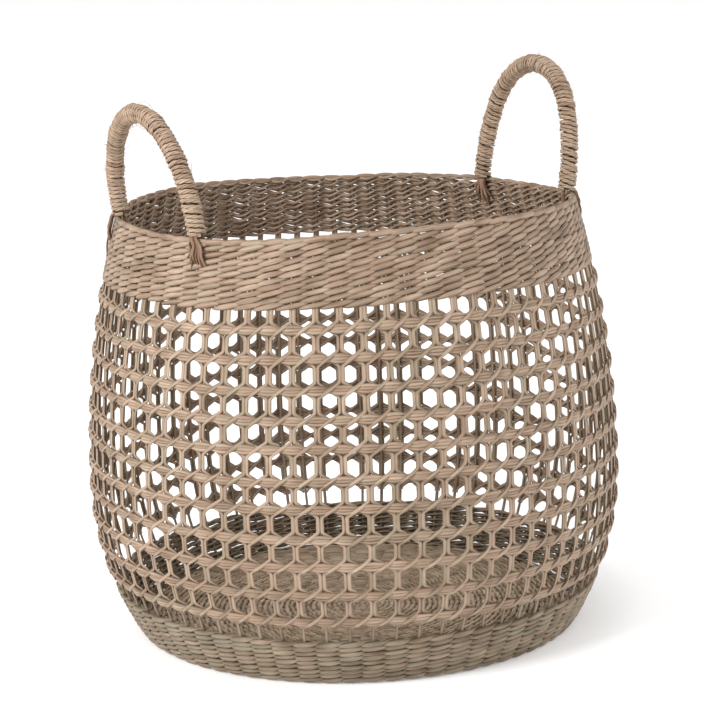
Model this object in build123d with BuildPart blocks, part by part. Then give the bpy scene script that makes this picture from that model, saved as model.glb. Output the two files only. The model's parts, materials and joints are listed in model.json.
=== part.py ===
"""Round seagrass storage basket: twined base, open-weave wall between two dense bands, two loop handles.

Every woven piece is a plain closed solid of its true outer size, in its true place. The origin is the
middle of the underside, +Z is up and the handles stand at +X (right) and -X (left).
"""

import os
from math import asin, atan2, cos, degrees, radians, sin, sqrt

from build123d import *

# Driving dimensions, in millimetres and degrees.

# The wall's outer profile: one arc below the belly and one above it, both upright at the belly.
belly_radius = 200.0
belly_height = 112.0
floor_radius = 168.0
rim_radius = 171.0
body_height = 314.0

gap = 0.4  # between woven pieces that lie against each other
end_gap = 0.3  # between one row and the next

# The upright stakes, and the pair of lattice strips outside each one.
stake_count = 72
stake_width = 2.4
stake_thickness = 1.0
stake_inset = 4.0
strip_width = 2.1
strip_thickness = 1.0
strip_inset = 0.2

# The two dense bands of twined rows. The stakes pass through slots in them.
band_inset = 1.0
band_depth = 7.0
lower_rows = 9
lower_pitch = 3.85
upper_rows = 11
upper_pitch = 4.25
row_round = 1.2

# The open rows between the bands: flat bundles held between the stakes and the strips.
open_rows = 11
open_first = 51.4
open_pitch = 20.26
open_height = 7.0
open_inset = 1.6
open_thickness = 2.0

# The base: rounds of twined weave, with spokes on top that enter the second row of the wall.
base_thickness = 3.4
base_groove = 0.8
base_centre_radius = 24.0
base_round_target = 3.9
spoke_thickness = 1.2
long_spoke_start = 30.0
short_spoke_start = 78.0

# The handles: a wrapped core bent into a three-arc arch that leans outwards, lashed to the rim at both
# feet. The two hand-bent arches are not equally high and not quite opposite each other.
handle_half_span = 62.7
right_handle_rise = 84.0
right_handle_angle = -1.8
left_handle_rise = 68.5
left_handle_angle = 181.6
handle_crown = 57.0
handle_lean = 8.0
wrap_radius = 7.0
core_radius = 3.6
core_tail = 5.8
lashing_width = 12.0
lashing_thickness = 2.2
lashing_length = 18.0
lashing_gap = 1.0
lashing_round = 1.0


def arc_radius(rise, inset):
    """The radius of an arc that starts upright and moves in by inset over rise."""
    return (rise**2 + inset**2) / (2 * inset)


lower_arc = arc_radius(belly_height, belly_radius - floor_radius)
upper_arc = arc_radius(body_height - belly_height, belly_radius - rim_radius)


def wall_radius(z):
    """The outer radius of the wall at height z."""
    arc = lower_arc if z < belly_height else upper_arc
    return belly_radius - arc + sqrt(arc**2 - (z - belly_height) ** 2)


def save(name, part):
    """Label a finished piece and write it."""
    part.label = name
    export_step(part, f"parts/{name}.step")
    print(f"{name:30s} {len(part.solids()):3d} solids {part.volume / 1000:8.1f} cm3")


# Worked-out heights and places.
lower_row_height = lower_pitch - end_gap
upper_row_height = upper_pitch - end_gap
upper_band_foot = body_height - (upper_rows - 1) * upper_pitch - upper_row_height
foot_row_inner = wall_radius(lower_row_height / 2) - band_inset - band_depth
spoke_foot = base_thickness + gap
stake_foot = lower_pitch + end_gap
stake_top = body_height - upper_row_height - 2 * end_gap
lashing_top = body_height + gap + lashing_thickness
hinge_height = lashing_top + gap + wrap_radius
handle_foot_radius = rim_radius - band_inset - band_depth / 2
handle_foot_x = sqrt(handle_foot_radius**2 - handle_half_span**2)
handle_foot_angle = degrees(asin(handle_half_span / handle_foot_radius))


# The base


def base_weave(inner, outer):
    """Twined rounds side by side: a flat disc or ring with a groove between each round and the next."""
    rounds = max(1, round((outer - inner) / base_round_target))
    pitch = (outer - inner) / rounds
    groove_height = base_thickness - base_groove
    with BuildPart() as weave:
        with BuildSketch(Plane.XZ):
            with BuildLine():
                Line((inner, 0), (inner, groove_height))
                for k in range(rounds):
                    start = inner + k * pitch
                    ThreePointArc(
                        (start, groove_height),
                        (start + pitch / 2, base_thickness),
                        (start + pitch, groove_height),
                    )
                Line((outer, groove_height), (outer, 0))
                Line((outer, 0), (inner, 0))
            make_face()
        revolve(axis=Axis.Z)
    return weave.part


def base_spokes(start, count, first_angle):
    """Flat spokes on the base weave, from start out to the wall stakes."""
    end = wall_radius(stake_foot) - stake_inset - stake_thickness - gap
    with BuildPart() as spokes:
        with BuildSketch(Plane.XY.offset(spoke_foot)):
            with PolarLocations((start + end) / 2, count, start_angle=first_angle):
                Rectangle(end - start, stake_width)
        extrude(amount=spoke_thickness)
    return spokes.part


# The wall


def band_row(z_low, height, slot_low=None, slot_high=None):
    """One twined row of a dense band: a ring with a slot for every stake."""
    outer = wall_radius(z_low + height / 2) - band_inset
    inner = outer - band_depth
    with BuildPart() as row:
        with BuildSketch(Plane.XY.offset(z_low)):
            Circle(outer)
            Circle(inner, mode=Mode.SUBTRACT)
            if slot_low is not None:
                with PolarLocations((slot_low + slot_high) / 2, stake_count):
                    Rectangle(slot_high - slot_low, stake_width + 2 * gap, mode=Mode.SUBTRACT)
        extrude(amount=height)
        circles = row.edges().filter_by(GeomType.CIRCLE)
        fillet(circles.filter_by(lambda edge: abs(edge.radius - outer) < 0.1), radius=row_round)
    return row.part


def stake_slot(z_low, height):
    """The radii between which the sloping stakes pass through a row, with room on both sides."""
    low, high = sorted((wall_radius(z_low), wall_radius(z_low + height)))
    return low - stake_inset - stake_thickness - gap, high - stake_inset + gap


def open_row(z_middle):
    """One flat bundle of the open weave: a thin ring that slopes with the wall."""
    low, high = z_middle - open_height / 2, z_middle + open_height / 2
    outline = [
        (wall_radius(low) - open_inset, low),
        (wall_radius(high) - open_inset, high),
        (wall_radius(high) - open_inset - open_thickness, high),
        (wall_radius(low) - open_inset - open_thickness, low),
    ]
    with BuildPart() as row:
        with BuildSketch(Plane.XZ):
            Polygon(*outline, align=None)
        revolve(axis=Axis.Z)
    return row.part


def upright(z_low, z_high, inset, thickness, width, sideways):
    """One strip along the wall's profile, moved inwards by inset and along the wall by sideways."""

    def wall_point(z, depth):
        return (wall_radius(z) - depth, z)

    low_middle, high_middle = (z_low + belly_height) / 2, (z_high + belly_height) / 2
    with BuildPart() as strip:
        with BuildSketch(Plane.XZ.offset(-sideways)):
            with BuildLine():
                for depth in (inset, inset + thickness):
                    belly = wall_point(belly_height, depth)
                    ThreePointArc(wall_point(z_low, depth), wall_point(low_middle, depth), belly)
                    ThreePointArc(belly, wall_point(high_middle, depth), wall_point(z_high, depth))
                for z in (z_low, z_high):
                    Line(wall_point(z, inset), wall_point(z, inset + thickness))
            make_face()
        extrude(amount=width / 2, both=True)
    return strip.part


def around(strip):
    """A copy of the strip at every stake position."""
    with BuildPart() as group:
        with PolarLocations(0, stake_count):
            add(strip)
    return group.part


# The handles


def handle_plane(angle):
    """The leaning plane of the handle at an angle: origin on the hinge line, x along it, y rising."""
    lean = radians(handle_lean)
    out = Vector(1, 0, 0).rotate(Axis.Z, angle)
    origin = out * handle_foot_x + Vector(0, 0, hinge_height)
    facing = out * cos(lean) - Vector(0, 0, sin(lean))
    return Plane(origin=origin, x_dir=out.rotate(Axis.Z, 90), z_dir=facing)


def handle_piece(angle, rise, outer, inner, tail):
    """A round piece along the arch: two side arcs, a tighter crown, and a straight tail at each foot."""
    shoulders = rise - handle_crown
    span_left = handle_half_span - handle_crown
    shoulder = (handle_half_span**2 + shoulders**2 - handle_crown**2) / (2 * span_left)
    turn = atan2(shoulders, shoulder - handle_half_span)
    with BuildPart() as piece:
        with BuildLine(handle_plane(angle)) as path:
            if tail:
                Line((handle_half_span, -tail), (handle_half_span, 0))
            leg = JernArc((handle_half_span, 0), (0, 1), shoulder, degrees(turn))
            crown_turn = 180 - 2 * degrees(turn)
            crown = JernArc(leg @ 1, (-sin(turn), cos(turn)), handle_crown, crown_turn)
            JernArc(crown @ 1, (-sin(turn), -cos(turn)), shoulder, degrees(turn))
            if tail:
                Line((-handle_half_span, 0), (-handle_half_span, -tail))
        with BuildSketch(path.wire() ^ 0):
            Circle(outer)
            if inner:
                Circle(inner, mode=Mode.SUBTRACT)
        sweep()
    return piece.part


def lashing(angle):
    """The splayed core strands at one handle foot, over the rim and down both faces of the band."""
    foot = body_height - lashing_length
    outside, inside = lashing_gap - band_inset, -band_inset - band_depth - lashing_gap
    outline = [
        (wall_radius(foot) + outside, foot),
        (wall_radius(foot) + outside + lashing_thickness, foot),
        (rim_radius + outside + lashing_thickness, lashing_top),
        (rim_radius + inside - lashing_thickness, lashing_top),
        (wall_radius(foot) + inside - lashing_thickness, foot),
        (wall_radius(foot) + inside, foot),
        (rim_radius + inside, lashing_top - lashing_thickness),
        (rim_radius + outside, lashing_top - lashing_thickness),
    ]
    radial = (cos(radians(angle)), sin(radians(angle)), 0)
    across = (sin(radians(angle)), -cos(radians(angle)), 0)
    with BuildPart() as strands:
        with BuildSketch(Plane(origin=(0, 0, 0), x_dir=radial, z_dir=across)):
            Polygon(*outline, align=None)
        extrude(amount=lashing_width / 2, both=True)
        fillet(strands.faces().sort_by(Axis.Z)[-1].edges().filter_by(Plane.XY), radius=lashing_round)
    return strands.part


# Build and write every piece.

os.makedirs("parts", exist_ok=True)

base_outer = foot_row_inner - gap
base_step = (base_outer - base_centre_radius) / 3
save("base_centre", base_weave(0, base_centre_radius))
for k, name in enumerate(("inner", "middle", "outer")):
    section_start = base_centre_radius + k * base_step + gap
    save(f"base_weave_{name}", base_weave(section_start, section_start + base_step - gap))
spoke_step = 360 / stake_count
save("base_spokes_long", base_spokes(long_spoke_start, stake_count // 2, 0))
save("base_spokes_short", base_spokes(short_spoke_start, stake_count // 2, spoke_step))

for k in range(lower_rows):
    row_low = k * lower_pitch
    slot_low, slot_high = stake_slot(row_low, lower_row_height)
    if k == 0:
        save("foot_row", band_row(row_low, lower_row_height))
    elif k == 1:  # open on the inside, where the spokes enter
        save("lower_band_row_02", band_row(row_low, lower_row_height, foot_row_inner - gap, slot_high))
    else:
        save(f"lower_band_row_{k + 1:02d}", band_row(row_low, lower_row_height, slot_low, slot_high))

for k in range(open_rows):
    save(f"open_row_{k + 1:02d}", open_row(open_first + k * open_pitch))

for k in range(upper_rows - 1):
    row_low = upper_band_foot + k * upper_pitch
    slot_low, slot_high = stake_slot(row_low, upper_row_height)
    save(f"upper_band_row_{k + 1:02d}", band_row(row_low, upper_row_height, slot_low, slot_high))
save("rim_row", band_row(body_height - upper_row_height, upper_row_height))

wall_stake = upright(stake_foot, stake_top, stake_inset, stake_thickness, stake_width, 0)
save("wall_stakes", around(wall_stake))
strip_foot = open_first - open_height / 2
strip_top = upper_band_foot - gap
strip_offset = (strip_width + gap) / 2
for name, side in (("first", 1), ("second", -1)):
    strip = upright(strip_foot, strip_top, strip_inset, strip_thickness, strip_width, side * strip_offset)
    save(f"{name}_lattice_strips", around(strip))

for name, angle, rise, front_side in (
    ("right", right_handle_angle, right_handle_rise, -1),
    ("left", left_handle_angle, left_handle_rise, 1),
):
    save(f"{name}_handle_core", handle_piece(angle, rise, core_radius, 0, core_tail))
    save(f"{name}_handle_wrap", handle_piece(angle, rise, wrap_radius, core_radius + gap, 0))
    save(f"{name}_handle_lashing_front", lashing(angle + front_side * handle_foot_angle))
    save(f"{name}_handle_lashing_back", lashing(angle - front_side * handle_foot_angle))
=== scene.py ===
# %% [markdown]
# # A woven seagrass basket
#
# This lesson builds the looks of a round seagrass basket around its CAD model. The CAD model says how
# large the basket is, where every row of weave sits and how the handles swing. Each plain CAD ring or
# strip is replaced here by the real strands that it stands for.
#
# Everything woven is the same thing mathematically: a strand, which is a small closed outline carried
# along a path. So the first cells make one strand function that works on whole numpy arrays, and the
# rest of the lesson is about the paths.

# %% Load the frame
import json

import bpy
import numpy as np
from mathutils import Matrix, Vector


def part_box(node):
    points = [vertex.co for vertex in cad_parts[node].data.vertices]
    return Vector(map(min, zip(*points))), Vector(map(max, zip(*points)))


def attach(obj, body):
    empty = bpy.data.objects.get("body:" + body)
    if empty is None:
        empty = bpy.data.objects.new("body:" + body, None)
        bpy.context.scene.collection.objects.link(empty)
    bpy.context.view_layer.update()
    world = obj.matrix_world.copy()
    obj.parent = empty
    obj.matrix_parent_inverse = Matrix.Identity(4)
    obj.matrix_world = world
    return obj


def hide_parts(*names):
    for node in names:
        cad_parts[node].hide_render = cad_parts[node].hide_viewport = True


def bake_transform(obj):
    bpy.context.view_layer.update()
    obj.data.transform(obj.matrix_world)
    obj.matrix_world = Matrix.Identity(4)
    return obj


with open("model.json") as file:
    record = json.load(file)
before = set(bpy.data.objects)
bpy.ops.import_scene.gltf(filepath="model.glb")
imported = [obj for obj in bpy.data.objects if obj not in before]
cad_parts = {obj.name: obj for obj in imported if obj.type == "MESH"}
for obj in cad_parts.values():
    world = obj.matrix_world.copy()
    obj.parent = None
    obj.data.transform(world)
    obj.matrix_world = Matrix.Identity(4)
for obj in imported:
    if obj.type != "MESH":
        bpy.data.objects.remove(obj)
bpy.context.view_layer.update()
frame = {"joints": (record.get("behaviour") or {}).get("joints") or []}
millimetre = 0.001

# %% [markdown]
# ## The wall as a sheet with coordinates
#
# A weaver thinks of the wall as a flat cloth bent round: so far along, so far up, so deep in. The wall
# can be drawn in the same way. Its outer profile is two arcs, upright at the belly, and a place on the
# wall is an angle round the basket, a height, and a depth measured outwards from that profile. Any
# pattern is then worked out flat and bent into shape by one function.
#
# A real basket is never quite round or level. Slow waves, the same on every run, lift and drop the rim
# by a few millimetres and shift the rows a little.

# %% The wall's profile
belly_radius = 200 * millimetre
belly_height = 112 * millimetre
floor_radius = 168 * millimetre
rim_radius = 171 * millimetre
body_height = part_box("rim_row")[1].z
stake_count = 72
stake_pitch = 2 * np.pi / stake_count


def arc_radius(rise, inset):
    """Radius of an arc that starts upright and moves in by inset over a rise.

    It is (rise^2 + inset^2) / (2 * inset).
    """
    return (rise**2 + inset**2) / (2 * inset)


lower_arc = arc_radius(belly_height, belly_radius - floor_radius)
upper_arc = arc_radius(body_height - belly_height, belly_radius - rim_radius)


def wall_radius(height):
    """Belly radius less the sagitta of the arc: arc - sqrt(arc^2 - (height - belly height)^2)."""
    arc = np.where(height < belly_height, lower_arc, upper_arc)
    return belly_radius - arc + np.sqrt(arc**2 - (height - belly_height) ** 2)


def waves(angle, seed, size, slowest=1, count=4):
    """A sum of sines round the basket, each faster one smaller, with seeded phases."""
    random = np.random.default_rng(seed)
    total = np.zeros_like(angle)
    for k in range(count):
        turns = slowest + k * max(1, slowest // 2)
        total += np.sin(turns * angle + random.uniform(0, 2 * np.pi)) / (1 + 0.5 * k)
    return size * total / 2


# Each wave of the rim is its turns round the basket, its size in millimetres and its crest in degrees.
rim_lift_mean = 2.0 * millimetre
rim_waves = ((1, 1.4, 4), (2, 2.5, -75), (3, 0.5, 28), (5, 0.8, 36))


def rim_lift(angle):
    """How far the rim stands above the CAD rim: a sum of size * cos(turns * (angle - crest))."""
    lift = np.zeros_like(angle) + rim_lift_mean
    for turns, size, crest in rim_waves:
        lift = lift + size * millimetre * np.cos(turns * (angle - np.radians(crest)))
    return lift


def wall_place(angle, height, depth):
    """Place, outward normal and sideways direction of wall coordinates, as arrays of vectors.

    The normal is square to the profile, and the rim's waves grow with the square of the height.
    """
    share = np.clip(height / body_height, 0, 1)
    step = 0.5 * millimetre
    slope = (wall_radius(height + step) - wall_radius(height - step)) / (2 * step)
    length = np.sqrt(1 + slope**2)
    around = np.stack([np.cos(angle), np.sin(angle), np.zeros_like(angle)], -1)
    side = np.stack([-np.sin(angle), np.cos(angle), np.zeros_like(angle)], -1)
    up = np.array([0.0, 0.0, 1.0])
    normal = (around - slope[..., None] * up) / length[..., None]
    lifted = height + rim_lift(angle) * share**2
    place = wall_radius(height)[..., None] * around + lifted[..., None] * up + depth[..., None] * normal
    return place, normal, side


print("belly radius", belly_radius, "body height", round(body_height, 4))

# %% [markdown]
# ## One strand, many strands
#
# A strand could be a Blender curve with a bevel, but a basket has thousands of stretches of it, and each
# should carry its own colour. So a strand is a grid: rings of points along a path. The function below
# takes a whole family of paths at once and returns one mesh. It also stores what the material reads: a
# UV map whose first coordinate runs along the strand and whose second runs round it, both in metres,
# and three numbers per point. These are the tone and the hue of that stretch of grass, and how near the
# point is to the strand's side, where the material paints shade into the gaps between strands.


# %% The strand function
def outline(sides, squareness=1.0):
    """A closed outline of unit half-width: an ellipse, squarer as squareness drops below 1."""
    turn = 2 * np.pi * np.arange(sides) / sides
    x, y = np.cos(turn), np.sin(turn)
    return np.stack([np.sign(x) * np.abs(x) ** squareness, np.sign(y) * np.abs(y) ** squareness], -1)


def unit(vectors):
    """Each vector divided by its length."""
    return vectors / np.maximum(np.linalg.norm(vectors, axis=-1, keepdims=True), 1e-12)


def path_direction(path, closed):
    """Central differences along the path, wrapped round when the path is closed."""
    if closed:
        return unit(np.roll(path, -1, axis=1) - np.roll(path, 1, axis=1))
    return unit(np.gradient(path, axis=1))


def strands(name, path, normal, half_out, half_wide, section, closed, tone, hue):
    """One mesh of many strands, each made of rings of points along its own path.

    A point is path + half_out * x * out + half_wide * y * across, with x and y from the section. Across
    is square to the normal and the path, and out is the normal made square to the path.
    """
    many, steps, sides = path.shape[0], path.shape[1], len(section)
    direction = path_direction(path, closed)
    across = unit(np.cross(normal, direction))
    out = unit(np.cross(direction, across))
    half_out = np.broadcast_to(half_out, (many, steps))[..., None]
    half_wide = np.broadcast_to(half_wide, (many, steps))[..., None]
    rings = (
        path[:, :, None]
        + (half_out * section[:, 0])[..., None] * out[:, :, None]
        + (half_wide * section[:, 1])[..., None] * across[:, :, None]
    )
    # Four-cornered faces join each ring to the next.
    strand, step, side = np.meshgrid(
        np.arange(many), np.arange(steps if closed else steps - 1), np.arange(sides), indexing="ij"
    )

    def point(s, i, j):
        return ((s * steps + i % steps) * sides + j % sides).reshape(-1)

    corners = [(0, 0), (0, 1), (1, 1), (1, 0)]
    quads = np.stack([point(strand, step + a, side + b) for a, b in corners], -1)
    # The UV map holds the distance along the path and the distance round the section.
    leap = np.linalg.norm(np.diff(path, axis=1), axis=-1)
    along = np.concatenate([np.zeros((many, 1)), np.cumsum(leap, axis=1)], axis=1)
    along = np.concatenate([along, along[:, -1:] + leap.mean(axis=1, keepdims=True)], axis=1)
    girth = 4 * float(half_wide.mean()) / sides
    uv_u = np.stack([along[strand, step + a].reshape(-1) for a, b in corners], -1)
    uv_v = np.stack([((side + b) * girth).reshape(-1) for a, b in corners], -1)
    loops = quads.reshape(-1)
    uv = np.stack([uv_u.reshape(-1), uv_v.reshape(-1)], -1)
    starts, totals = 4 * np.arange(len(quads)), np.full(len(quads), 4)
    if not closed:
        # An open strand gets a flat cap at each end.
        ends = np.arange(many)[:, None]
        first = (ends * steps * sides + np.arange(sides)).reshape(-1)
        last = ((ends * steps + steps - 1) * sides + np.arange(sides)[::-1]).reshape(-1)
        caps = np.concatenate([first, last])
        starts = np.concatenate([starts, 4 * len(quads) + sides * np.arange(2 * many)])
        totals = np.concatenate([totals, np.full(2 * many, sides)])
        loops = np.concatenate([loops, caps])
        uv = np.concatenate([uv, np.zeros((len(caps), 2))])
    mesh = bpy.data.meshes.new(name)
    mesh.vertices.add(many * steps * sides)
    mesh.vertices.foreach_set("co", rings.reshape(-1))
    mesh.loops.add(len(loops))
    mesh.loops.foreach_set("vertex_index", loops.astype(np.int32))
    mesh.polygons.add(len(starts))
    mesh.polygons.foreach_set("loop_start", starts.astype(np.int32))
    mesh.polygons.foreach_set("loop_total", totals.astype(np.int32))
    mesh.polygons.foreach_set("use_smooth", np.ones(len(starts), bool))
    mesh.uv_layers.new(name="strand").data.foreach_set("uv", uv.reshape(-1))
    tone = np.broadcast_to(tone, (many, steps))[..., None]
    hue = np.broadcast_to(hue, (many, steps))[..., None]
    # How near each point is to the strand's side; the material darkens it there as painted shade between
    # strands.
    edge = np.abs(section[:, 1])[None, None] ** 3
    for label, value in (("tone", tone), ("hue", hue), ("edge", edge)):
        spread = np.broadcast_to(value, (many, steps, sides)).astype(np.float32)
        mesh.attributes.new(label, "FLOAT", "POINT").data.foreach_set("value", spread.reshape(-1))
    mesh.update(calc_edges=True)
    piece = bpy.data.objects.new(name, mesh)
    bpy.context.scene.collection.objects.link(piece)
    return piece


def patchy(shape, seed, run):
    """Seeded values from 0 to 1 that hold for about run steps along a strand, then drift to the next.

    The last value is the first again, so that a closed strand has no seam.
    """
    hold, drift = 0.35, 0.3
    random = np.random.default_rng(seed)
    many, steps = shape
    knots = max(2, steps // run)
    values = random.random((many, knots + 1))
    values[:, -1] = values[:, 0]
    where = np.linspace(0, knots, steps)
    low = np.minimum(where.astype(int), knots - 1)
    share = np.clip((where - low - hold) / drift, 0, 1)
    return values[:, low] * (1 - share) + values[:, low + 1] * share


# %% [markdown]
# ## Seagrass as a material
#
# Dried seagrass is a folded leaf: straw coloured, with pinkish, brown and grey-green stretches, a fine
# grain along its length and a dull wax-like gloss. One material could serve the whole basket, but the
# strands of the rim are redder than those of the foot and the handle twine is paler, so one function
# makes a material for each, from its own palette.
#
# Shader arithmetic is easier to read as arithmetic, so a small class wraps a node's output and turns
# sums and products into Math nodes.


# %% Shader helper
class Shade:
    """A value inside a material. Arithmetic on it adds Math nodes, and node() adds any other node."""

    def __init__(self, tree, socket=None):
        self.tree, self.socket = tree, socket

    def node(self, kind, settings=None, inputs=None, output=0):
        """Add a node, set its properties and inputs, and return the output that is asked for."""
        made = self.tree.nodes.new(kind)
        for key, value in (settings or {}).items():
            if key == "stops":
                ramp = made.color_ramp
                while len(ramp.elements) < len(value):
                    ramp.elements.new(0.5)
                for element, (position, colour) in zip(ramp.elements, value):
                    element.position, element.color = position, (*colour, 1)
            else:
                setattr(made, key, value)
        for key, value in (inputs or {}).items():
            if isinstance(value, Shade):
                self.tree.links.new(value.socket, made.inputs[key])
            else:
                made.inputs[key].default_value = value
        return Shade(self.tree, made.outputs[output])

    def math(self, operation, first, second):
        """Add a Math node that works on two values."""
        return self.node("ShaderNodeMath", {"operation": operation}, {0: first, 1: second})

    def __add__(self, other):
        return self.math("ADD", self, other)

    def __sub__(self, other):
        return self.math("SUBTRACT", self, other)

    def __mul__(self, other):
        return self.math("MULTIPLY", self, other)


# The noise repeats this often per metre: the grain along a strand and round it, and the blotches.
grain_scale = (55, 1500, 1)
blotch_scale = 70.0
# Outputs of the coordinate and attribute nodes, and inputs and output of the colour mix.
object_place, attribute_number = 3, 2
mix_factor, mix_first, mix_second, mix_colour = 0, 6, 7, 2


def seagrass(name, palette, green, grain_depth, roughness):
    """A seagrass finish: palette runs from the darkest leaf to the palest, green is the cooler tint.

    The place in the palette is a weighted sum of tone, blotches and grain, less painted shade at the
    strand's sides.
    """
    material = bpy.data.materials.new(name)
    material.use_nodes = True
    tree = material.node_tree
    tree.nodes.clear()
    shade = Shade(tree)
    along = shade.node("ShaderNodeUVMap", {"uv_map": "strand"})
    stretched = shade.node("ShaderNodeMapping", None, {"Vector": along, "Scale": grain_scale})
    grain = shade.node("ShaderNodeTexNoise", None, {"Vector": stretched, "Scale": 1.0, "Detail": 3.0})
    place = shade.node("ShaderNodeTexCoord", output=object_place)
    blotch = shade.node("ShaderNodeTexNoise", None, {"Vector": place, "Scale": blotch_scale, "Detail": 4.0})
    tone, hue, edge = (
        shade.node("ShaderNodeAttribute", {"attribute_name": label}, output=attribute_number)
        for label in ("tone", "hue", "edge")
    )
    # The last term but one paints shade along the sides of every strand, where its neighbours would shade
    # it.
    level = tone * 0.38 + blotch * 0.36 + grain * 0.88 - edge * 0.34 - 0.20
    leaf = shade.node("ShaderNodeValToRGB", {"stops": palette}, {"Fac": level})
    cool = shade.node(
        "ShaderNodeMix",
        {"data_type": "RGBA", "blend_type": "MULTIPLY"},
        {mix_factor: hue, mix_first: leaf, mix_second: (*green, 1)},
        output=mix_colour,
    )
    relief = grain * 0.85 + blotch * 0.15
    bump = shade.node(
        "ShaderNodeBump", None, {"Height": relief, "Strength": 0.8, "Distance": grain_depth * millimetre}
    )
    rough = grain * 0.22 + (roughness - 0.11)
    surface = shade.node(
        "ShaderNodeBsdfPrincipled",
        None,
        {"Base Color": cool, "Roughness": rough, "Normal": bump, "Specular IOR Level": 0.34},
    )
    output = tree.nodes.new("ShaderNodeOutputMaterial")
    tree.links.new(surface.socket, output.inputs["Surface"])
    return material


# %% The basket's palettes
# Each stop is a place from 0 to 1 and the colour of the leaf there, from the darkest to the palest.
straw = [
    (0.05, (0.070, 0.044, 0.028)),
    (0.30, (0.200, 0.135, 0.089)),
    (0.55, (0.320, 0.233, 0.166)),
    (0.80, (0.425, 0.330, 0.250)),
    (1.00, (0.560, 0.470, 0.385)),
]


def tinted(palette, tint):
    """The same stops with every colour multiplied by a tint."""
    return [(stop, tuple(c * t for c, t in zip(colour, tint))) for stop, colour in palette]


# A recipe is a name, the tint of the straw, the cooler tint, the grain's depth in millimetres and the
# roughness.
cool_tint = (0.86, 0.96, 0.94)
recipes = {
    "upper": ("seagrass_upper_band", (0.87, 0.81, 0.78), (0.91, 0.98, 0.97), 0.6, 0.58),
    # The foot's band is tinted darker, partly for its greyer grass and partly as painted shade for the
    # weaker light low on the wall.
    "lower": ("seagrass_lower_band", (0.70, 0.70, 0.66), (0.84, 0.95, 0.94), 0.6, 0.62),
    "bundle": ("seagrass_bundle", (0.94, 0.87, 0.84), cool_tint, 0.5, 0.56),
    "strip": ("seagrass_strip", (0.98, 0.94, 0.92), cool_tint, 0.5, 0.54),
    "stake": ("seagrass_stake", (0.88, 0.86, 0.82), cool_tint, 0.5, 0.60),
    # The base is tinted brighter than the straw: painted light that makes up for the shade it lies in.
    "base": ("seagrass_base", (1.22, 1.20, 1.16), cool_tint, 0.6, 0.66),
    "twine": ("handle_twine", (1.12, 1.06, 1.04), (0.88, 0.97, 0.95), 0.6, 0.66),
    "core": ("handle_core_strands", (0.58, 0.44, 0.36), cool_tint, 0.5, 0.58),
}
finish = {
    material: seagrass(name, tinted(straw, tint), green, grain_depth, roughness)
    for material, (name, tint, green, grain_depth, roughness) in recipes.items()
}


def dress(piece, material, body, *nodes):
    """Give a piece its finish, let it ride on a body and let it stand for its CAD nodes."""
    piece.data.materials.append(finish[material])
    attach(piece, body)
    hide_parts(*nodes)


print("finishes:", ", ".join(finish))

# %% [markdown]
# ## The dense bands: twining
#
# The top and bottom of the wall are twined. Two strands travel round together: at each upright stake one
# passes in front and the other behind, and between stakes they change places. Each strand repeats every
# two stakes. In one repeat it shows in front for a while, climbing to the right, then slips behind and
# drops back. When it shows for more than one stake's width, each grain ends above the start of the next
# one, like roof tiles. That is the look of the upper band. The rows of the foot are packed harder: their
# grains are only a little more than one stake wide and stand in columns.

# %% Twined rows
stake_depth = -4.5 * millimetre
samples_per_stake = 8
changeover = 0.17
twine_outline = outline(8, 0.85)


def twine_cycle(stakes_passed, strand, front):
    """Where a strand is in its repeat: frontness from -1 to 1, climb from -1 to 1, and the phase.

    The phase runs from -1 to 1 with 0 in the middle of the front stretch, whose half width is front.
    frontness = tanh((front - |phase|) / changeover); climb rises in front and falls behind, both evenly.
    """
    phase = (stakes_passed + strand + 1) % 2 - 1
    away = np.abs(phase)
    frontness = np.tanh((front - away) / changeover)
    climb = np.sign(phase) * np.minimum(away / front, (1 - away) / (1 - front))
    return frontness, climb, phase


def twined_row(name, finish_name, seed, shape):
    """Two strands: depth = stake depth + swing * frontness, height = row's height + rise * climb.

    Slow waves are added, some to each strand by itself and some to both, and the grains taper at their
    tips.
    """
    own_wander, shared_wander = 0.35 * millimetre, 0.45 * millimetre
    low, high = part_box(name)
    steps = stake_count * samples_per_stake
    angle = np.broadcast_to(2 * np.pi * np.arange(steps) / steps, (2, steps))
    strand = np.array([[0.0], [1.0]])
    frontness, climb, phase = twine_cycle(angle / stake_pitch, strand, shape["front"])
    uneven = np.stack([waves(angle[0], seed + k, own_wander, 9, 6) for k in range(2)])
    shared = waves(angle[0], seed + 500, shared_wander, 3, 5)
    height = (low.z + high.z) / 2 + shape["rise"] * climb + uneven + shared
    depth = stake_depth + shape["swing"] * frontness + 0.4 * uneven
    path, normal, _ = wall_place(angle, height, depth)
    fat = 1 + 0.22 * (patchy((2, steps), seed + 2, samples_per_stake) - 0.5)
    taper = 1 - shape["taper"] * np.clip(np.abs(phase) / shape["front"], 0, 1) ** 2
    long_patches = patchy((2, steps), seed + 3, 2 * samples_per_stake)
    short_patches = patchy((2, steps), seed + 4, samples_per_stake // 2)
    tone = 0.8 * long_patches + 0.2 * short_patches
    hue = patchy((2, steps), seed + 5, 3 * samples_per_stake) ** 2
    half_out, half_wide = shape["half_thick"] * fat, shape["half_high"] * fat * taper
    weave_name = name.replace("_row", "_weave")
    piece = strands(weave_name, path, normal, half_out, half_wide, twine_outline, True, tone, hue)
    dress(piece, finish_name, "root", name)


def row_shape(front, taper, **sizes):
    """The shape of a twined row: its front stretch, its taper, and sizes that are given in millimetres."""
    shape = {key: value * millimetre for key, value in sizes.items()}
    shape.update(front=front, taper=taper)
    return shape


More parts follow.
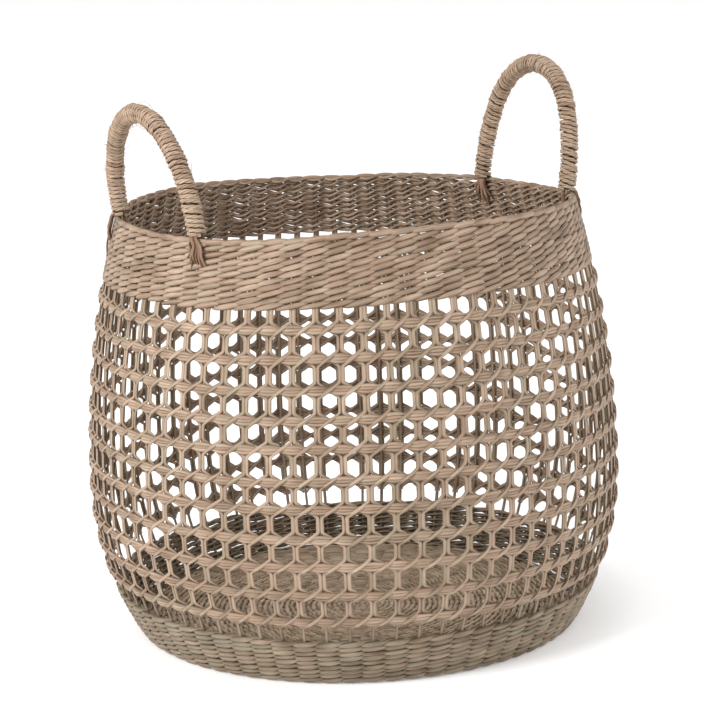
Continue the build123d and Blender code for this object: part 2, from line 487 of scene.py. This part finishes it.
upper_shape = row_shape(0.70, 0.50, rise=2.05, swing=1.75, half_thick=1.15, half_high=2.10)
lower_shape = row_shape(0.57, 0.62, rise=0.95, swing=1.85, half_thick=1.40, half_high=2.35)
rim_shape = row_shape(0.70, 0.50, rise=0.80, swing=1.75, half_thick=1.15, half_high=2.25)
lower_names = ["foot_row"] + [f"lower_band_row_{k:02d}" for k in range(2, 10)]
upper_names = [f"upper_band_row_{k:02d}" for k in range(1, 11)] + ["rim_row"]
for k, name in enumerate(lower_names):
    twined_row(name, "lower", 100 + 10 * k, lower_shape)
for k, name in enumerate(upper_names):
    twined_row(name, "upper", 300 + 10 * k, rim_shape if name == "rim_row" else upper_shape)
print("twined rows:", len(lower_names), "below and", len(upper_names), "above")

# %% [markdown]
# ## The open rows: flat bundles
#
# Between the bands the wall is a lattice. Its level members are bundles of three flat leaves laid edge to
# edge. A bundle spreads into a plump lozenge where it passes in front of a stake and is pinched narrow
# in the gap, where the lattice strips bind it. Three separate strands whose spacing opens and closes
# give the ribs of the bundle for nothing.

# %% Open-row bundles
leaves = 3
bundle_names = [f"open_row_{k:02d}" for k in range(1, 12)]
bundle_seeds = [600 + 40 * k for k in range(len(bundle_names))]
bundle_outline = outline(8, 0.72)


def row_wander(angle, seed):
    """How far an open row strays from its level, shared with the strips that bind it."""
    return waves(angle, seed, 1.0 * millimetre, 2, 5)


def open_row(name, seed):
    """Leaf k lies k - 1 spacings from the middle. A spacing is 1.05 mm in a gap and 2.05 mm at a stake.

    Between them it follows (0.5 + 0.5 * cos(72 * angle)) ^ 0.6, and so do a leaf's depth and its size.
    """
    low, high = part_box(name)
    steps = stake_count * samples_per_stake
    angle = np.broadcast_to(2 * np.pi * np.arange(steps) / steps, (leaves, steps))
    at_stake = (0.5 + 0.5 * np.cos(stake_count * angle)) ** 0.6
    order = (np.arange(leaves) - (leaves - 1) / 2)[:, None]
    spacing = millimetre * (1.05 + 1.00 * at_stake)
    stray = np.stack([waves(angle[0], seed + k, 0.22 * millimetre, 11, 6) for k in range(leaves)])
    height = (low.z + high.z) / 2 + row_wander(angle, seed) + order * spacing + stray
    plump = 1 - 0.22 * order**2
    depth = millimetre * (-3.0 + 1.35 * at_stake * plump) + stray
    path, normal, _ = wall_place(angle, height, depth)
    long_patches = patchy((leaves, steps), seed + 20, 18)
    short_patches = patchy((leaves, steps), seed + 21, 5)
    tone = 0.75 * long_patches + 0.25 * short_patches
    hue = patchy((leaves, steps), seed + 22, 32) ** 2
    fat = 1 + 0.12 * (patchy((leaves, steps), seed + 23, 12) - 0.5)
    half_out = millimetre * (0.72 + 0.2 * at_stake) * fat
    half_wide = millimetre * (0.95 + 0.5 * at_stake) * fat
    bundle_name = name.replace("row", "bundle")
    piece = strands(bundle_name, path, normal, half_out, half_wide, bundle_outline, True, tone, hue)
    dress(piece, "bundle", "root", name)


row_middle = []
for name, seed in zip(bundle_names, bundle_seeds):
    open_row(name, seed)
    low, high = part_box(name)
    row_middle.append((low.z + high.z) / 2)
row_middle = np.array(row_middle)
print("open rows at", np.round(row_middle, 4))

# %% [markdown]
# ## The lattice strips
#
# Every gap between two stakes holds two flat strips. They run straight up beside their stakes, and at
# each row they change sides and cross in an X that grips the bundle: the strip that rises to the right
# passes in front of the bundle, the other one behind it. A strip's sideways place is a ramp that goes
# from one side of its gap to the other at every row, up at odd rows and down at even ones, with its
# corners rounded by averaging.

# %% Lattice strips
strip_half_gap = 1.2 * millimetre
cross_reach = 4.8 * millimetre
grip_reach = 3.6 * millimetre
low_tuck, high_tuck = 4.5 * millimetre, 4.0 * millimetre
strip_thick, strip_wide = 0.40 * millimetre, 1.32 * millimetre
strip_outline = outline(8, 0.5)
samples_per_row = 14
strip_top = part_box("first_lattice_strips")[1].z + 3 * millimetre


def ramp(distance):
    """0 below -reach, 1 above +reach, straight between, with corners rounded over 1.8 mm."""
    corner = np.linspace(-0.9, 0.9, 5) * millimetre
    ramps = np.clip((distance[..., None] + corner + cross_reach) / (2 * cross_reach), 0, 1)
    return ramps.mean(-1)


def lattice_strips(name, node, first, seed):
    """Strip i swings between the sides of gap i. first says which side it starts on.

    It lies 3.25 mm deep, comes 2.15 mm further out where it crosses over a bundle and goes 1.05 mm further
    in where it passes under one, and both its ends are tucked into the bands.
    """
    random = np.random.default_rng(seed)
    bottom = row_middle[0] - 7.0 * millimetre
    steps = samples_per_row * (len(bundle_names) + 1)
    height = np.broadcast_to(np.linspace(bottom, strip_top, steps), (stake_count, steps))
    gap = np.arange(stake_count)[:, None]
    gap_angle = (gap + 0.5) * stake_pitch
    crossing = np.zeros((stake_count, steps))
    over = np.zeros((stake_count, steps))
    under = np.zeros((stake_count, steps))
    for k, (middle, row_seed) in enumerate(zip(row_middle, bundle_seeds)):
        level = middle + row_wander(gap_angle, row_seed)
        rising = (k % 2 == 0) == first
        crossing += ramp(height - level) * (1 if rising else -1)
        near = np.exp(-(((height - level) / grip_reach) ** 4))
        over += near * (1.0 if rising else 0.0)
        under += near * (0.0 if rising else 1.0)
    across = crossing if first else 1 + crossing
    radius = wall_radius(height)
    half_gap_angle = strip_half_gap / radius
    sideways = half_gap_angle + across * (stake_pitch - 2 * half_gap_angle)
    sideways = sideways + millimetre * random.normal(0, 0.12, (stake_count, 1)) / radius
    tucked_low = np.clip((bottom + low_tuck - height) / low_tuck, 0, 1)
    tucked_high = np.clip((height - strip_top + high_tuck) / high_tuck, 0, 1)
    depth = millimetre * (-3.25 + 2.15 * over - 1.05 * under - 1.6 * tucked_low**0.7 - 1.3 * tucked_high)
    angle = gap * stake_pitch + sideways
    path, normal, _ = wall_place(angle, height, depth)
    own_tone = random.random((stake_count, 1))
    tone = 0.15 + 0.55 * patchy((stake_count, steps), seed + 1, 40) + 0.3 * own_tone
    hue = patchy((stake_count, steps), seed + 2, 40) ** 2
    wide = strip_wide * (1 + random.normal(0, 0.09, (stake_count, 1)))
    wide = wide * (1 + 0.10 * (patchy((stake_count, steps), seed + 3, 9) - 0.5))
    piece = strands(name, path, normal, strip_thick, wide, strip_outline, False, tone, hue)
    dress(piece, "strip", "root", node)
    print(name, "has", stake_count, "strips")


lattice_strips("first_lattice", "first_lattice_strips", True, 2000)
lattice_strips("second_lattice", "second_lattice_strips", False, 2100)

# %% [markdown]
# ## The stakes
#
# The stakes are the basket's bones: narrow, firm leaves that run straight up the wall from the base to
# the rim. They hide inside the twining of the bands and behind the bundles, and show by themselves only
# below the lowest open row.

# %% Wall stakes
stake_steps = 70
stake_sway = 0.0012
leaf_outline = outline(6, 0.8)


def leaf_looks(random, half_wide, count):
    """Seeded half widths, tones and hues for straight leaves, drawn in that order."""
    wide = half_wide * (1 + random.normal(0, 0.1, (count, 1)))
    tone = 0.2 + 0.6 * random.random((count, 1))
    hue = random.random((count, 1)) ** 2
    return wide, tone, hue


low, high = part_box("wall_stakes")
height = np.broadcast_to(np.linspace(low.z, high.z, stake_steps), (stake_count, stake_steps))
angle = np.arange(stake_count)[:, None] * stake_pitch + np.zeros((1, stake_steps))
angle = angle + waves(height * 60 + angle * 40, 32, stake_sway, 1, 4)
path, normal, _ = wall_place(angle, height, np.full_like(height, stake_depth))
wide, tone, hue = leaf_looks(np.random.default_rng(31), 1.25 * millimetre, stake_count)
stakes = strands("stakes", path, normal, 0.7 * millimetre, wide, leaf_outline, False, tone, hue)
dress(stakes, "stake", "root", "wall_stakes")

# %% [markdown]
# ## The base
#
# The base is twined in the same way as the bands, only flat: rounds of two strands over and under a
# star of spokes. Thirty-six spokes start near the middle, and as many again are added where the star
# has opened too wide. The outermost round reaches a little past its solid, so that it meets the wall.

# %% Base spokes and rounds
base_middle = 2.55 * millimetre
round_pitch = 4.0 * millimetre
round_front = 0.54
reach_to_wall = 2.6 * millimetre


def flat_place(angle, radius, height):
    """Polar coordinates on the base, with the upward normal."""
    place = np.stack([radius * np.cos(angle), radius * np.sin(angle), height], -1)
    return place, np.broadcast_to(np.array([0.0, 0.0, 1.0]), place.shape)


def spokes(name, node, start, count, offset, seed):
    """Straight flat leaves from the radius start to the wall, in the middle of the base's thickness."""
    steps = 24
    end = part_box("base_spokes_long")[1].x + 1.2 * millimetre
    radius = np.broadcast_to(np.linspace(start, end, steps), (count, steps))
    angle = offset + np.arange(count)[:, None] * 2 * np.pi / count + np.zeros_like(radius)
    path, normal = flat_place(angle, radius, np.full_like(radius, base_middle))
    wide, tone, hue = leaf_looks(np.random.default_rng(seed), 1.3 * millimetre, count)
    piece = strands(name, path, normal, 0.6 * millimetre, wide, leaf_outline, False, tone, hue)
    dress(piece, "stake", "root", node)


def base_rounds(name, node, inner, outer, count, seed):
    """Twined rounds of pitch 4 mm: height = middle + swing * frontness, radius = ring + rise * climb."""
    rounds = int(round((outer - inner) / round_pitch))
    rings = inner + (np.arange(rounds) + 0.5) * (outer - inner) / rounds
    samples = 8 if count < stake_count else 6
    steps = count * samples
    angle = np.broadcast_to(2 * np.pi * np.arange(steps) / steps, (2 * rounds, steps))
    strand = np.tile([0.0, 1.0], rounds)[:, None]
    frontness, climb, phase = twine_cycle(angle * count / (2 * np.pi), strand, round_front)
    uneven = np.stack([waves(angle[0], seed + k, 0.5 * millimetre, 5, 6) for k in range(2 * rounds)])
    radius = np.repeat(rings, 2)[:, None] + 0.6 * millimetre * climb + uneven
    height = base_middle + 1.25 * millimetre * frontness
    path, normal = flat_place(angle, radius, height)
    tone = patchy((2 * rounds, steps), seed + 50, 12)
    hue = patchy((2 * rounds, steps), seed + 51, 24) ** 1.5
    wide = 2.0 * millimetre * (1 - 0.4 * np.clip(np.abs(phase) / round_front, 0, 1) ** 2)
    piece = strands(name, path, normal, 1.1 * millimetre, wide, outline(6, 0.85), True, tone, hue)
    dress(piece, "base", "root", node)
    print(name, rounds, "rounds")


centre_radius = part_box("base_centre")[1].x
inner_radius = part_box("base_weave_inner")[1].x
middle_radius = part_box("base_weave_middle")[1].x
outer_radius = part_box("base_weave_outer")[1].x + reach_to_wall
spokes("spokes_long", "base_spokes_long", 8 * millimetre, 36, 0.0, 41)
spokes("spokes_short", "base_spokes_short", 78 * millimetre, 36, stake_pitch, 42)
base_rounds("base_start", "base_centre", 1.6 * millimetre, centre_radius, 18, 700)
base_rounds("base_inner", "base_weave_inner", centre_radius, inner_radius, 36, 800)
base_rounds("base_middle", "base_weave_middle", inner_radius, middle_radius, 72, 900)
base_rounds("base_outer", "base_weave_outer", middle_radius, outer_radius, 72, 1000)

# %% [markdown]
# ## The handles
#
# A handle is a rope bent into an arch: a core of strands wound tightly with thin twine. The arch is
# three arcs that meet smoothly, and both legs run straight on below the hinge line until they stand on
# the rim. The two arches were bent by hand, so the right one is a little higher.
#
# Two lengths of twine are wound side by side as a double helix, and each turn is pushed about a little,
# so that some turns ride up on others. The handle bends at its roots, in the few millimetres above the
# rim.

# %% The arch
handle_half_span = 62.7 * millimetre
handle_crown = 57 * millimetre
handle_rises = {"right": 84 * millimetre, "left": 68.5 * millimetre}
handle_lean = np.radians(8)
wrap_radius = 7 * millimetre
foot_gap = 0.4 * millimetre
bend_below, bend_above = 9 * millimetre, 10 * millimetre
hinge_place = {joint["child"]: np.array(joint["pos_m"]) for joint in frame["joints"]}


def arch_arcs(label):
    """Height of the crown's centre, radius and angle of the shoulder arcs, and half the arch's length.

    A shoulder is centred on the hinge line and meets the crown without a corner when its radius is
    (half span^2 + rise^2 - crown^2) / (2 * (half span - crown)), with rise the crown centre's height.
    """
    rise = handle_rises[label] - handle_crown
    shoulder = (handle_half_span**2 + rise**2 - handle_crown**2) / (2 * (handle_half_span - handle_crown))
    turn = np.arctan2(rise, shoulder - handle_half_span)
    half_length = shoulder * turn + handle_crown * (np.pi / 2 - turn)
    return rise, shoulder, turn, half_length


def arch_length(label):
    """Length of an arch from one crossing of the hinge line to the other."""
    return 2 * arch_arcs(label)[-1]


def arch(label, distance):
    """Across and up coordinates and outward heading at a distance along an arch from its first foot.

    The first half is a shoulder arc and half of the crown, and the second half mirrors it. Distances
    below zero, or past the end, run straight down below the hinge line.
    """
    rise, shoulder, turn, half_length = arch_arcs(label)
    mirror = np.where(distance > half_length, -1.0, 1.0)
    distance = np.where(distance > half_length, 2 * half_length - distance, distance)
    on_shoulder = distance < shoulder * turn
    crown_heading = turn + (distance - shoulder * turn) / handle_crown
    heading = np.maximum(np.where(on_shoulder, distance / shoulder, crown_heading), 0)
    shoulder_x = handle_half_span - shoulder + shoulder * np.cos(heading)
    x = np.where(on_shoulder, shoulder_x, handle_crown * np.cos(heading))
    y = np.where(on_shoulder, shoulder * np.sin(heading), rise + handle_crown * np.sin(heading))
    y = y + np.minimum(distance, 0)
    return mirror * x, y, np.where(mirror < 0, np.pi - heading, heading)


def handle_axes(label):
    """Unit vectors of a handle: along its hinge line, up its leaning plane, and square out of it."""
    away = unit(hinge_place[f"{label}_handle"] * [1, 1, 0])
    along = np.array([-away[1], away[0], 0.0])
    up = np.array([0.0, 0.0, 1.0])
    rise = np.sin(handle_lean) * away + np.cos(handle_lean) * up
    out = np.cos(handle_lean) * away - np.sin(handle_lean) * up
    return along, rise, out


def foot_place(label, first):
    """Where a leg crosses the hinge line: half a span to either side of the hinge's middle."""
    side = 1 if first else -1
    return hinge_place[f"{label}_handle"] + side * handle_half_span * handle_axes(label)[0]


def around_arch(label, distance, roll, radius):
    """Places on a tube round the arch, and their outward directions.

    A place is off the arch by radius * cos(roll) in the arch's plane and radius * sin(roll) square to it.
    """
    along, rise, out = handle_axes(label)
    x, y, heading = arch(label, distance)
    in_plane = (radius * np.cos(roll))[..., None]
    square = (radius * np.sin(roll))[..., None]
    middle = hinge_place[f"{label}_handle"] + x[..., None] * along + y[..., None] * rise
    away = np.cos(heading)[..., None] * along + np.sin(heading)[..., None] * rise
    offset = in_plane * away + square * out
    return middle + offset, unit(offset)


def foot_length(label, first):
    """How far a leg runs on below the hinge line, down to the rim with its waves."""
    x, y, z = foot_place(label, first)
    rim = body_height + float(rim_lift(np.array(np.arctan2(y, x))))
    return (z - rim - foot_gap) / np.cos(handle_lean)


def dress_rooted(piece, material, label, *nodes):
    """Give a piece its finish, keep it where it was built and let it stand for its CAD nodes."""
    piece.data.materials.append(finish[material])
    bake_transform(piece)
    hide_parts(*nodes)


for label in handle_rises:
    print(label, "arch length", round(float(arch_length(label)), 4))


# %% Handle core and wrap
def leg_ends(label):
    """Distances along the arch at which its two legs end, just above the rim."""
    return -foot_length(label, True), arch_length(label) + foot_length(label, False)


def handle_core(label, seed):
    """Three strands twisted along the arch, down to the rim at both feet: roll = distance / lay + start."""
    steps = 130
    lay, off_centre, thick = 14 * millimetre, 2.4 * millimetre, 2.3 * millimetre
    start, end = leg_ends(label)
    distance = np.broadcast_to(np.linspace(start, end, steps), (3, steps))
    roll = distance / lay + np.array([[0.0], [2.1], [4.2]])
    path, outward = around_arch(label, distance, roll, np.full_like(roll, off_centre))
    tone = patchy((3, steps), seed, 8)
    piece = strands(f"{label}_core", path, outward, thick, thick, outline(8), False, tone, 0.2)
    dress_rooted(piece, "core", label, f"{label}_handle_core")


def handle_wrap(label, seed):
    """Two twines side by side round the arch, each of three plies that turn round one another.

    A ply is off the middle of its twine by ply_out * sin(twist) outwards and ply_along * cos(twist) along
    the arch. The pitch, tilt, thickness and outward distance of a twine are all a little uneven.
    """
    pitch, per_turn, plies = 6.6 * millimetre, 24, 3
    ply_out, ply_along, ply_twists = 0.55 * millimetre, 0.76 * millimetre, 2.3
    ply_thick, ply_wide = 0.68 * millimetre, 0.86 * millimetre
    twine_radius = wrap_radius - 1.35 * millimetre
    start, end = leg_ends(label)
    turns = (end - start) / pitch
    steps = int(turns * per_turn)
    share = np.broadcast_to(np.linspace(0, 1, steps), (2, steps))
    roll = 2 * np.pi * turns * share + np.array([[0.0], [np.pi]])
    jitter = np.stack([waves(roll[0] / 3.7, seed + k, 0.40 * millimetre, 1, 6) for k in range(2)])
    tilt = 0.9 * millimetre * np.sin(roll + 1.0) * (0.3 + patchy((2, steps), seed + 7, per_turn * 2))
    lift = np.stack([waves(roll[0] / 5.3, seed + 3 + k, 0.45 * millimetre, 1, 5) for k in range(2)])
    fat = 1 + 0.35 * (patchy((2, steps), seed + 9, per_turn) - 0.5)
    tint = patchy((2, steps), seed + 8, 60)
    middle = start + (end - start) * share + jitter + tilt
    twine_values = (roll, lift, fat, tint, middle)
    roll, lift, fat, tint, middle = (np.repeat(values, plies, axis=0) for values in twine_values)
    twist = ply_twists * roll + np.tile(2 * np.pi * np.arange(plies) / plies, 2)[:, None]
    distance = np.clip(middle + ply_along * fat * np.cos(twist), start, end)
    radius = twine_radius + lift + ply_out * np.sin(twist)
    path, outward = around_arch(label, distance, roll, radius)
    tone = 0.15 + 0.5 * patchy(roll.shape, seed + 5, per_turn // 2) + 0.35 * tint
    hue = patchy(roll.shape, seed + 6, per_turn * 4) ** 2
    piece = strands(
        f"{label}_wrap", path, outward, ply_thick * fat, ply_wide * fat, outline(6), False, tone, hue
    )
    dress_rooted(piece, "twine", label, f"{label}_handle_wrap")
    print(label, "handle wrap:", round(turns * 2), "turns")


for label, seed in (("right", 3000), ("left", 3100)):
    handle_core(label, seed)
    handle_wrap(label, seed + 20)


# %% Stray fibres
def stray_fibres(label, many, seed):
    """Short curved hairs that stand out of the wrap, above the stretch where the handle bends.

    Each has a start on the wrap's surface, a lean along the arch, a curl round it and a droop.
    """
    random = np.random.default_rng(seed)
    steps = 7
    clear_of_bend = bend_above + 2 * millimetre
    distance = random.uniform(clear_of_bend, arch_length(label) - clear_of_bend, (many, 1))
    roll = random.uniform(0, 2 * np.pi, (many, 1))
    length = random.uniform(2.5, 7.0, (many, 1)) * millimetre
    share = np.linspace(0, 1, steps)[None, :]
    lean = random.normal(0, 0.9, (many, 1))
    curl = random.normal(0, 0.7, (many, 1))
    radius = wrap_radius - 0.6 * millimetre + length * (0.75 * share - 0.2 * share**2)
    turned = roll + curl * share * length / (6 * millimetre)
    path, outward = around_arch(label, distance + lean * length * share, turned, radius)
    taper = 1 - 0.75 * share + 0 * radius
    half = 0.13 * millimetre * taper
    tone = 0.5 + 0.5 * random.random((many, 1))
    piece = strands(f"{label}_stray_fibres", path, outward, half, half, outline(4), False, tone, 0.1)
    piece.data.materials.append(finish["twine"])
    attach(piece, f"{label}_handle")


stray_fibres("right", 90, 3300)
stray_fibres("left", 90, 3400)
print("stray fibres on both handles")

# %% [markdown]
# ## The lashings
#
# At each foot the core's strands come out of the wrap, part over the rim and are worked into the band on
# both faces. Each strand is a smooth path through a few points: out of the wrap, over the rim, down the
# face while the bunch fans out and drifts sideways, and into the weave.


# %% Smooth paths and lashings
def smooth(points, steps):
    """Catmull-Rom curves through points of shape (many, knots, 3), evaluated at steps places each.

    Between knots b and c, with neighbours a and d, a curve is the cubic in t that passes through b at 0
    and c at 1 with slopes (c - a) / 2 and (d - b) / 2.
    """
    before, after = 2 * points[:, :1] - points[:, 1:2], 2 * points[:, -1:] - points[:, -2:-1]
    padded = np.concatenate([before, points, after], axis=1)
    where = np.linspace(0, points.shape[1] - 1, steps)
    stretch = np.minimum(where.astype(int), points.shape[1] - 2)
    t = (where - stretch)[None, :, None]
    a, b, c, d = (padded[:, stretch + k] for k in range(4))
    square = 2 * a - 5 * b + 4 * c - d
    cube = 3 * b - 3 * c + d - a
    return 0.5 * (2 * b + (c - a) * t + square * t**2 + cube * t**3)


def lashing(label, end, first, splay, drift, tail, seed):
    """Eight strands down each face of the band. Every knot is a drop below the rim, a depth and a width.

    Strands lying under others get painted shade, those on top are pale; one on each face has a longer tail.
    The bunch drifts sideways by drift in millimetres, all of it before it is 7 mm below the rim.
    """
    random = np.random.default_rng(seed)
    many, steps = 16, 26
    face = np.where(np.arange(many) % 2 == 0, 1.0, -1.0)
    foot = foot_place(label, first)
    foot_angle, foot_radius = np.arctan2(foot[1], foot[0]), np.hypot(foot[0], foot[1])
    spread = np.linspace(-1, 1, many)
    on_top = (np.arange(many) // 2) % 2
    lift = 0.5 + 0.9 * on_top + random.uniform(0, 0.8, many)
    length = random.uniform(13, 20, many)
    length[4:6] = tail

    def knot(drop, face_depth, width):
        """Places at a drop below the rim, face_depth off the middle of the band, spread sideways."""
        height = body_height - drop * millimetre * np.ones(many)
        depth = stake_depth + face * face_depth * millimetre
        aside = drift * np.clip(0.3 + drop / 10, 0, 1)
        across = ((spread + random.normal(0, 0.15, many)) * width + aside) * millimetre
        return wall_place(foot_angle + across / foot_radius, height, depth)[0]

    points = np.stack(
        [
            knot(-9.0, 1.2, 1.8),
            knot(-2.4, 2.4, 2.7),
            knot(1.0, 3.4 + lift, 3.2),
            knot(0.35 * length, 3.7 + lift, 0.45 * splay + 1.0),
            knot(0.70 * length, 3.6 + lift, 0.80 * splay),
            knot(length, 2.4, 1.1 * splay),
        ],
        axis=1,
    )
    path = smooth(points, steps)
    away = np.array([np.cos(foot_angle), np.sin(foot_angle), 0.12])
    outward = face[:, None, None] * np.broadcast_to(unit(away), path.shape)
    taper = np.interp(np.linspace(0, 1, steps), [0, 0.15, 0.8, 1], [0.9, 1, 1, 0.5])
    # The lower strands are made dark to paint the shade in the gaps between the pale strands on top.
    tone = (0.9 * on_top + random.uniform(-0.7, 0.6, many))[:, None] * np.ones((1, steps))
    half_out = 0.75 * millimetre * taper
    half_wide = random.uniform(0.80, 1.45, (many, 1)) * millimetre * taper
    name = f"{label}_lashing_{end}"
    piece = strands(name, path, outward, half_out, half_wide, outline(8), False, tone, 0.1)
    dress_rooted(piece, "core", label, f"{label}_handle_lashing_{end}")


lashing("left", "front", True, 7.6, 7.5, 21, 4000)
lashing("left", "back", False, 6.5, 3.0, 30, 4010)
lashing("right", "front", False, 6.5, 0.0, 21, 4020)
lashing("right", "back", True, 9.0, 0.0, 22, 4030)
print("lashings at four feet")

# %% [markdown]
# ## Floor, light and camera
#
# The basket stands on a plain pale floor in soft studio light: one large light high on the left, a
# weaker one on the right and a bright surround.

# %% Stage
floor_size = 60.0
bpy.ops.mesh.primitive_plane_add(size=floor_size)
floor = bpy.context.object
floor.name = "studio_floor"
floor_material = bpy.data.materials.new("pale_floor")
floor_material.use_nodes = True
floor_surface = floor_material.node_tree.nodes["Principled BSDF"]
floor_surface.inputs["Base Color"].default_value = (0.86, 0.86, 0.86, 1)
floor_surface.inputs["Emission Color"].default_value = (1, 1, 1, 1)
floor_surface.inputs["Emission Strength"].default_value = 0.16
floor_surface.inputs["Roughness"].default_value = 0.9
floor.data.materials.append(floor_material)

world = bpy.data.worlds.new("studio")
bpy.context.scene.world = world
world.use_nodes = True
world.node_tree.nodes["Background"].inputs["Color"].default_value = (1.0, 1.0, 1.0, 1)
world.node_tree.nodes["Background"].inputs["Strength"].default_value = 0.97


def soft_light(name, place, aim, size, power):
    """A square area light at a place, turned towards aim."""
    data = bpy.data.lights.new(name, "AREA")
    data.size, data.energy = size, power
    light = bpy.data.objects.new(name, data)
    light.location = place
    direction = np.array(aim) - np.array(place)
    light.rotation_euler = Vector(direction).to_track_quat("-Z", "Y").to_euler()
    bpy.context.scene.collection.objects.link(light)


soft_light("key", (-2.0, -0.5, 1.6), (0, 0, 0.15), 1.0, 50)
soft_light("fill", (1.5, -1.2, 0.8), (0, 0, 0.15), 1.2, 12)

# %% Camera
camera_distance = 1.600
camera_height = 0.5206
camera_azimuth = np.radians(-28)
camera_pitch = np.radians(11.27)
camera_roll = np.radians(-1.9)
camera_aside = 0.001
camera_data = bpy.data.cameras.new("camera")
camera_data.lens = 111.4
camera_data.sensor_width = 36
camera_data.clip_start, camera_data.clip_end = 0.05, 100
camera = bpy.data.objects.new("camera", camera_data)
right = Vector((np.cos(camera_azimuth), np.sin(camera_azimuth), 0))
back = Vector((np.sin(camera_azimuth), -np.cos(camera_azimuth), 0))
camera.matrix_world = (
    Matrix.Translation(back * camera_distance + right * camera_aside + Vector((0, 0, camera_height)))
    @ Matrix.Rotation(camera_azimuth, 4, "Z")
    @ Matrix.Rotation(np.pi / 2 - camera_pitch, 4, "X")
    @ Matrix.Rotation(camera_roll, 4, "Z")
)
bpy.context.scene.collection.objects.link(camera)
bpy.context.scene.camera = camera
bpy.context.scene.view_settings.view_transform = "Standard"
